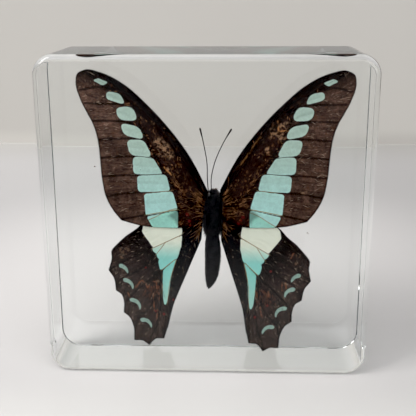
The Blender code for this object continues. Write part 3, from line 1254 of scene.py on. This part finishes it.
# %% Fur on the body
BLACK_FUR = fuzz_material("black_fur", rgb(25, 25, 25), rgb(54, 53, 53))
GREY_FUR = fuzz_material("grey_velvet", rgb(22, 22, 26), rgb(40, 40, 46))
for name, density, length, thickness, lay, seed, material in (
    ("thorax", 4.4e7, 0.00095, 0.030, 0.55, 11, BLACK_FUR),
    ("head", 5.0e7, 0.00045, 0.035, 0.35, 12, BLACK_FUR),
    ("abdomen", 3.8e7, 0.00042, 0.050, 0.75, 13, GREY_FUR),
):
    grow(name + "_fur", "insect_body", body_parts[name].data.copy(), FUR, **{
        "Per square metre": density, "Length": length, "Thickness": thickness, "Lay": lay, "Spread": 0.28,
        "Seed": seed, "Material": material})

# %% [markdown]
# ## Antennae, mouthparts and legs
# The antennae are ringed threads that swell to a narrow club. The tongue lies coiled under the head
# between two short palps. The six legs are folded behind the thorax. All of them are paths with a
# thickness, so the tube tree makes them, with rings on the antennae.

# %% Antennae
ANTENNA_RADIUS = 0.105
CLUB_LENGTH = 3.2
TIP_LENGTH = 0.25


def antenna_path(points, depth):
    """Both antennae lean half a millimetre towards the front."""
    flat = smooth_curve(points, 0.08)
    away = np.linspace(0, 1, len(flat))
    return np.stack([flat[:, 0], depth - 0.5 * away, flat[:, 1]], 1)


def antenna_radii(path):
    """A thread that swells over its last few millimetres and closes at its tip."""
    left = np.linalg.norm(path - path[-1], axis=1)
    club = np.clip(1 - left / CLUB_LENGTH, 0, 1)
    tip = np.clip(left / TIP_LENGTH, 0.25, 1)
    return ANTENNA_RADIUS * (1 + club * club * (3 - 2 * club)) * tip


ANTENNA_SKIN = skin_material("antenna_skin", rgb(22, 18, 18), rgb(46, 40, 40), 0.4)
ANTENNAE = {
    "left": [(0.35, 43.3), (0.15, 46.5), (0.10, 49.7), (-0.75, 55.0), (-1.50, 58.3)],
    "right": [(1.05, 43.3), (1.05, 46.5), (1.70, 49.7), (3.70, 54.6), (5.70, 58.1)],
}
for word, points in ANTENNAE.items():
    path = antenna_path(points, CENTRE_Y - 0.2)
    grow(word + "_antenna", "insect_body", path_host([(path, antenna_radii(path), 0)]), TUBES, **{
        "Sides": 10, "Ring spacing": 0.00036, "Ring depth": 0.09, "Material": ANTENNA_SKIN})


# %% Tongue, palps and legs
TONGUE_POINTS = 70
PALP_RADIUS = 0.3


def tongue_path():
    """A flat spiral of two and a half turns under the head."""
    turns = np.linspace(0, 5 * math.pi, TONGUE_POINTS)
    radius = 0.10 + 0.032 * turns
    return np.stack([np.full_like(turns, CENTRE_X - 0.15), CENTRE_Y + 1.45 + radius * np.cos(turns),
                     42.6 + radius * np.sin(turns)], 1)


def palp_path(side):
    x = CENTRE_X + 0.3 + side * 0.28
    joints = [(x, 1.0, 42.6), (x + side * 0.03, 0.85, 43.2), (x + side * 0.06, 0.4, 43.7)]
    return smooth_curve([(x, CENTRE_Y + y, z) for x, y, z in joints], 0.1)


LEG_ROOTS = (39.9, 37.8, 35.8)


def leg_path(side, root):
    """Hip, thigh, shin and foot, folded against the underside."""
    joints = [(0.6, 2.1, root), (1.0, 2.9, root + 0.2), (2.5, 3.7, root + 1.3), (1.3, 4.3, root - 1.5),
              (0.8, 4.5, root - 3.3), (0.9, 4.4, root - 4.2)]
    points = np.array([(CENTRE_X + side * x, CENTRE_Y + y, z) for x, y, z in joints])
    return eased_path(points, 0.18)


def eased_path(points, radius):
    """Straight lengths joined by short bends."""
    made = [points[:1]]
    t = np.linspace(0, 1, 5)[:, None]
    for before, corner, after in zip(points, points[1:], points[2:]):
        start = corner + (before - corner) * radius / np.linalg.norm(before - corner)
        end = corner + (after - corner) * radius / np.linalg.norm(after - corner)
        made.append((1 - t) ** 2 * start + 2 * t * (1 - t) * corner + t * t * end)
    return np.vstack(made + [points[-1:]])


MOUTH_SKIN = skin_material("mouthparts", rgb(52, 34, 24), rgb(98, 70, 52), 0.45)
PALP_FUZZ = fuzz_material("palp_fuzz", rgb(70, 48, 38), rgb(150, 120, 100))
tongue = path_host([(tongue_path(), np.linspace(0.05, 0.11, TONGUE_POINTS), 0)])
grow("tongue", "insect_body", tongue, TUBES, Sides=8, Material=MOUTH_SKIN)
palps = path_host([(palp_path(side), PALP_RADIUS, 0) for side in (LEFT, RIGHT)])
palp_mesh = grow("palps", "insect_body", palps, TUBES, Sides=10, Material=MOUTH_SKIN)
grow("palp_fur", "insect_body", palp_mesh.copy(), FUR, **{
    "Per square metre": 9e7, "Length": 0.0004, "Thickness": 0.05, "Lay": 0.5, "Comb": (0, 0, 1), "Seed": 21,
    "Material": PALP_FUZZ})
legs = [leg_path(side, root) for side in (LEFT, RIGHT) for root in LEG_ROOTS]
leg_host = path_host([(path, np.linspace(0.24, 0.07, len(path)), 0) for path in legs])
grow("legs", "insect_body", leg_host, TUBES, Sides=8, Material=ANTENNA_SKIN)

# %% [markdown]
# ## Long hairs at the wing bases
# Golden-brown hairs lie over the wings where they meet the body, and finer ones follow the hindwings'
# inner margins. Each is a path on the wing's own surface: it starts near the hinge and runs outwards in a
# fan. A seeded generator picks the starts and lengths, so every run gives the same hairs.

# %% Strands on the wings
STRAND_POINTS = 7


def strand_paths(wing, side, count, starts, angles, lengths, seed):
    """Curved strands on a wing. They start along a line between two points and fan out from it."""
    pick = np.random.default_rng(seed)
    made = []
    for _ in range(count):
        share = pick.random()
        start = np.array(starts[0]) * (1 - share) + np.array(starts[1]) * share + pick.normal(0, 0.25, 2)
        angle = math.radians(angles[0] + (angles[1] - angles[0]) * share + pick.normal(0, 9))
        curl = math.radians(pick.normal(0, 14))
        steps = np.linspace(0, pick.uniform(*lengths), STRAND_POINTS)[:, None]
        turn = angle + curl * steps / steps[-1]
        flat = start + steps * np.hstack([np.cos(turn), np.sin(turn)])
        lifts = 0.1 + 0.12 * np.sin(np.linspace(0.2, 2.6, STRAND_POINTS))
        points = on_wing(wing, flat, side)
        points[:, 1] -= lifts
        made.append((points, np.linspace(0.045, 0.02, STRAND_POINTS), pick.random() ** 2.5))
    return made


GOLD_FUZZ = fuzz_material("golden_hair", rgb(44, 27, 21), rgb(184, 128, 80), 0.8)
RED_FUZZ = fuzz_material("reddish_hair", rgb(34, 19, 17), rgb(124, 74, 52), 0.8)
STRANDS = (
    ("forewing_base_hair", FORE, 24, ((2.2, 37.2), (2.6, 43.0)), (-8, 58), (1.2, 4.2), 31, GOLD_FUZZ),
    ("forewing_disc_hair", FORE, 34, ((5.0, 38.4), (9.5, 47.0)), (5, 55), (0.8, 2.6), 32, GOLD_FUZZ),
    ("hindwing_base_hair", HIND, 24, ((2.6, 33.4), (2.6, 37.8)), (-70, 10), (1.0, 3.4), 33, GOLD_FUZZ),
    ("hindwing_disc_hair", HIND, 30, ((11.6, 20.0), (15.5, 18.0)), (-96, -72), (1.5, 4.5), 34, RED_FUZZ),
)
for name, wing, count, starts, angles, lengths, seed, material in STRANDS:
    paths = [path for side in (LEFT, RIGHT)
             for path in strand_paths(wing, side, count, starts, angles, lengths, seed + side * 10)]
    grow(name, "wing_scales", path_host(paths), TUBES, Sides=4, Material=material)

# %% [markdown]
# ## Lifted scales
# On an old specimen some scales stand up or have turned, and catch the light as short golden or pale
# flecks. They are thickest in the forewing's inner part. Each is a short spindle that lies along the
# wing's own grain: the grain's direction is where the number across the fan of veins doesn't change.

# %% Flecks along the grain
def fibre_directions(wing, points):
    """Unit directions along the grain at drawing points, pointing away from the hinge."""
    step = 0.2
    across = grain(wing, points)[:, 0]
    slope = np.stack([grain(wing, points + shift)[:, 0] - across for shift in ((step, 0), (0, step))], 1)
    way = np.stack([-slope[:, 1], slope[:, 0]], 1)
    way *= np.sign((way * (points - wing.hinge)).sum(1))[:, None]
    return way / (np.linalg.norm(way, axis=1)[:, None] + 1e-9)


def fleck_paths(wing, side, count, chance, lengths, radius, seed):
    """Short spindles at random places on a wing's dark part. chance says how likely a place is kept."""
    pick = np.random.default_rng(seed)
    low, high = wing.outline.min(0), wing.outline.max(0)
    points = pick.uniform(low, high, (count, 2))
    dark = (signed_distance(points, wing.outline) < -0.4) & (nearest_of(points, wing.pale_loops) > 0.15)
    points = points[dark & (pick.random(count) < chance(points))]
    ways = fibre_directions(wing, points)
    spread = pick.normal(0, 0.35, len(points))
    sizes = lengths[0] + (lengths[1] - lengths[0]) * pick.random(len(points)) ** 2
    tones = pick.random(len(points)) ** 2.5
    made = []
    for point, way, turn, size, tone in zip(points, ways, spread, sizes, tones):
        tilted = np.array([way[0] - turn * way[1], way[1] + turn * way[0]])
        flat = point + np.array([-0.5, 0.0, 0.5])[:, None] * size * tilted
        made.append((on_wing(wing, flat, side, lift=0.06), radius * np.array([0.35, 1.0, 0.35]), tone))
    return made


def golden_chance(points):
    """Thick near the band of windows on the forewing's inner side, thin towards the costal edge."""
    near_costa = distance_to_path(points, FORE.costa)
    return np.clip(1.0 - (beyond_band(points) + 1.5) / 2.5, 0, 1) * np.clip((near_costa - 1.2) / 2.5, 0.1, 1)


def outer_chance(points):
    """The forewing's outer third."""
    return np.clip(beyond_band(points) / 3.0, 0, 1)


def even_chance(points):
    """The same all over the wing."""
    return np.ones(len(points))


FORE.pale_loops = FORE.windows
HIND.pale_loops = HIND.cream + HIND.blue
PALE_FUZZ = fuzz_material("pale_flecks", rgb(84, 66, 56), rgb(176, 154, 134), 0.8)
FLECKS = (
    ("forewing_golden_flecks", FORE, 850, golden_chance, (0.3, 0.9), 0.065, GOLD_FUZZ, 51),
    ("forewing_pale_flecks", FORE, 700, outer_chance, (0.3, 1.6), 0.045, PALE_FUZZ, 52),
    ("hindwing_pale_flecks", HIND, 420, even_chance, (0.3, 1.2), 0.045, PALE_FUZZ, 53),
)
for name, wing, count, chance, lengths, radius, material, seed in FLECKS:
    paths = [path for side in (LEFT, RIGHT)
             for path in fleck_paths(wing, side, count, chance, lengths, radius, seed + side * 10)]
    grow(name, "wing_scales", path_host(paths), TUBES, Sides=4, Material=material)

# %% [markdown]
# ## Specks and bubbles
# Hand-poured resin keeps a few things besides the butterfly: scales that came loose, crumbs of dust and a
# pinch of tiny air bubbles. Each sits at a point of a host mesh, with its own size. A bubble is air
# inside resin, so light bends the other way at its skin, and its index is one over the resin's.

# %% Specks
def specks_group():
    group, tree, given, out = geometry_group("Specks", {"Detail": ("Int", 1), "Flatness": ("Float", 0.5),
                                                        "Seed": ("Int", 1)})
    ball = tree.first("GeometryNodeMeshIcoSphere", {"Radius": 1.0, "Subdivisions": given["Detail"]})
    squash = tree.math("SUBTRACT", 1.0, given["Flatness"])
    flattest = tree.first("ShaderNodeCombineXYZ", {0: squash, 1: squash, 2: squash})
    inputs = {"Min": flattest, "Max": (1, 1, 1), "Seed": given["Seed"]}
    stretch = tree.first("FunctionNodeRandomValue", inputs, data_type="FLOAT_VECTOR")
    inputs = {"Vector": any_vector(tree, given["Seed"])}
    turn = tree.first("FunctionNodeAlignRotationToVector", inputs)
    points = tree.first("GeometryNodeMeshToPoints", {"Mesh": given["Geometry"]})
    inputs = {"Points": points, "Instance": ball, "Rotation": turn,
              "Scale": tree.scaled(stretch, field(tree, "size"))}
    end_tree(tree, tree.first("GeometryNodeInstanceOnPoints", inputs), given, out)
    return group


SPECKS = specks_group()


def speck_host(points, sizes):
    """Bare points in millimetres, each with its own size."""
    mesh = bpy.data.meshes.new("specks")
    mesh.from_pydata(np.array(points) * MM, [], [])
    store(mesh, "size", np.array(sizes) * MM)
    return mesh


def scattered(count, seed, smallest, largest):
    """Places all through the block, well inside its faces, mostly small sizes."""
    pick = np.random.default_rng(seed)
    low, high = (np.array(corner) / MM for corner in (block_low, block_high))
    points = pick.uniform(low + 3, high - 3, (count, 3))
    return points, smallest + (largest - smallest) * pick.random(count) ** 3


def bubble_material():
    material, tree, shader, _ = new_material("air_bubble")
    shader["Transmission Weight"].default_value = 1.0
    shader["IOR"].default_value = 1 / RESIN_INDEX
    tree.feed(shader["Roughness"], tree.ramp(tree.noise(millimetres(tree), 3.0), 0.3, 0.7, 0.0, 0.03))
    return material


GREY_DUST = fuzz_material("grey_dust", rgb(96, 92, 88), rgb(160, 155, 148), 0.5)
BROWN_CRUMB = skin_material("brown_crumb", rgb(58, 38, 28), rgb(120, 92, 70), 0.7)
CRUMBS = ((-25.4, -4.8, 49.6), (23.3, -3.8, 33.9), (23.6, -3.4, 33.6))
CRUMB_SIZES = (0.24, 0.17, 0.12)
grow("brown_crumbs", "insect_body", speck_host(CRUMBS, CRUMB_SIZES), SPECKS, Detail=2, Seed=5,
     Material=BROWN_CRUMB)
dust = speck_host(*scattered(90, 41, 0.02, 0.11))
grow("loose_dust", "insect_body", dust, SPECKS, Detail=1, Seed=6, Flatness=0.7, Material=GREY_DUST)
bubbles = speck_host(*scattered(26, 42, 0.03, 0.12))
grow("air_bubbles", "clear_resin", bubbles, SPECKS, Detail=3, Seed=7, Flatness=0.0,
     Material=bubble_material())

# %% [markdown]
# ## Floor, backdrop and light
# The block stands on a pale floor that meets a pale wall behind it. The light is a pale room that is
# brightest in front, with
#  a window light high on the left and a weak fill on the right. Clear resin has almost no look of its own:
#  its faces mirror the room, and its rims bend the view far round it. So the room is part of the finish. The
#  floor well in front of the block is painted dark, as painted shade, because the polished front mirrors it
#  over the black wings. The room dims to its sides, and the floor and wall are painted dark there too, as
#  painted shade; the rims pick that up as thin dark lines. Behind the block the floor has a painted pool of
#  light. The floor and upper wall have a painted falloff, lighter on the left and darker on the right, and
#  high up the wall fades to a painted dark grey. The window light stands far to the left, so that it glints
#  on one corner and not along the whole top rim.

# %% Stage
FLOOR_DROP = 0.1
SWEEP_START = 0.2622
SWEEP_RADIUS = 0.0004


def sweep_profile():
    """The floor and wall as seen from the side, with a small round where they meet: y and z in metres."""
    turns = np.linspace(0, math.pi / 2, 13)
    bend = [(SWEEP_START + SWEEP_RADIUS * math.sin(t), SWEEP_RADIUS * (1 - math.cos(t))) for t in turns]
    return [(-0.9, 0.0)] + bend + [(SWEEP_START + SWEEP_RADIUS, 1.2)]


# Along an axis (1 is depth, 2 is height), between two places in millimetres, the stage turns to a tone. The
# floor far in front turns
#  dark grey and the wall fades to dark grey high up: both are painted shade. The floor also darkens near the
#  wall, and the wall's tone changes a little with height.
STAGE_TONES_AND_PAINTED_SHADE = (
    (1, -8.0, -32.0, (200, 198, 195)),
    (1, -48.0, -130.0, (96, 96, 98)),
    (1, 205.0, 262.0, (172, 170, 167)),
    (2, -0.09, 0.0, (162, 159, 154)),
    (2, 84.0, 100.0, (153, 152, 149)),
    (2, 112.0, 140.0, (158, 157, 153)),
    (2, 200.0, 420.0, (60, 62, 66)),
)
VIEW_MIDDLE_X = -11.0
PAINTED_POOL_MIDDLE_Y = 60.0
PAINTED_SHADE_SIDES_START, PAINTED_SHADE_SIDES_END = 128.0, 250.0


def stage_material():
    material, tree, shader, _ = new_material("floor_and_wall")
    place = millimetres(tree)
    parts = tree.add("ShaderNodeSeparateXYZ", {0: place}).outputs
    aside = tree.math("ABSOLUTE", tree.math("SUBTRACT", parts[0], VIEW_MIDDLE_X))
    # Painted light: a pool of lighter floor behind the block, where clear resin would throw its light.
    from_painted_pool = tree.math("SUBTRACT", parts[1], PAINTED_POOL_MIDDLE_Y)
    painted_light_pool = tree.first("ShaderNodeCombineXYZ", {0: parts[0], 1: from_painted_pool})
    painted_light_pool = tree.add("ShaderNodeVectorMath", {0: painted_light_pool}, operation="LENGTH").outputs["Value"]
    colour = tree.mix(tree.ramp(painted_light_pool, 130.0, 35.0), rgb(179, 177, 176), rgb(211, 208, 206))
    for axis, start, end, tone in STAGE_TONES_AND_PAINTED_SHADE:
        colour = tree.mix(tree.ramp(parts[axis], start, end), colour, rgb(*tone))
    # Painted light falloff: the floor and the wall above its lower band are painted lighter on the left,
    # towards the window light, and darker on the right.
    even = tree.math("MULTIPLY", tree.ramp(parts[2], 2.0, 10.0), tree.ramp(parts[2], 112.0, 84.0))
    painted_side_falloff = shade_by(tree, colour, tree.ramp(parts[0], -110.0, 110.0), 1.10, 0.88)
    colour = tree.mix(even, painted_side_falloff, colour)
    # Painted shade: far to either side, the floor turns mid grey and the wall dark grey.
    painted_dark_sides = tree.mix(tree.ramp(parts[2], 0.0, 6.0), rgb(124, 124, 125), rgb(52, 53, 56))
    colour = tree.mix(tree.ramp(aside, PAINTED_SHADE_SIDES_START, PAINTED_SHADE_SIDES_END), colour, painted_dark_sides)
    tree.feed(shader["Base Color"], shade_by(tree, colour, tree.noise(place, 0.008, 4.0), 0.97, 1.03))
    shader["Roughness"].default_value = 0.45
    shader["Specular IOR Level"].default_value = 0.3
    return material


def add_stage():
    profile = sweep_profile()
    points = [(x, y, z - FLOOR_DROP * MM) for x in (-1.2, 1.2) for y, z in profile]
    count = len(profile)
    faces = [(i, i + count, i + count + 1, i + 1) for i in range(count - 1)]
    mesh = bpy.data.meshes.new("floor_and_wall")
    mesh.from_pydata(points, [], faces)
    mesh.shade_smooth()
    mesh.materials.append(stage_material())
    stage = bpy.data.objects.new("floor_and_wall", mesh)
    bpy.context.collection.objects.link(stage)
    return stage


def add_area(name, place, width, height, power, colour):
    """A soft rectangular light that faces the middle of the block."""
    data = bpy.data.lights.new(name, "AREA")
    data.shape = "RECTANGLE"
    data.size = width
    data.size_y = height
    data.energy = power
    data.color = colour
    light = bpy.data.objects.new(name, data)
    light.location = place
    aim = Vector((0, 0, 0.04)) - Vector(place)
    light.rotation_euler = aim.to_track_quat("-Z", "Y").to_euler()
    bpy.context.collection.objects.link(light)
    return light


ROOM_STRENGTH = 2.52
HORIZON_FADE = 0.18


def add_world():
    """A pale room that dims towards its sides and, over its lowest ten degrees, down to the dark floor."""
    world = bpy.data.worlds.new("pale_room")
    world.use_nodes = True
    tree = Tree(world.node_tree)
    way = tree.add("ShaderNodeSeparateXYZ", {0: tree.add("ShaderNodeTexCoord").outputs["Generated"]}).outputs
    ahead = tree.math("ADD", way[1], tree.math("MULTIPLY", way[0], 0.25))
    colour = tree.mix(tree.ramp(ahead, -0.85, -0.15), rgb(254, 254, 255), rgb(160, 160, 162))
    colour = tree.mix(tree.ramp(tree.math("ABSOLUTE", way[0]), 0.65, 0.92), colour, rgb(66, 68, 72))
    colour = tree.mix(tree.ramp(way[2], 0.0, HORIZON_FADE), rgb(98, 99, 101), colour)
    background = world.node_tree.nodes["Background"].inputs
    tree.feed(background["Color"], colour)
    background["Strength"].default_value = ROOM_STRENGTH
    bpy.context.scene.world = world


add_stage()
add_area("window_light", (-0.56, -0.31, 0.63), width=0.42, height=0.50, power=4.8, colour=(1.0, 0.99, 0.975))
add_area("fill_light", (0.75, -0.75, 0.45), width=0.8, height=0.8, power=3.0, colour=(0.97, 0.985, 1.0))
add_world()
BLACK_LEVEL = 0.021


def set_contrast():
    """A camera's black level: the faint veil that the polished front reflects counts as black."""
    view = bpy.context.scene.view_settings
    view.view_transform = "Standard"
    view.use_curve_mapping = True
    view.curve_mapping.black_level = (BLACK_LEVEL, BLACK_LEVEL, BLACK_LEVEL)
    view.curve_mapping.update()


set_contrast()
print("stage and lights set")
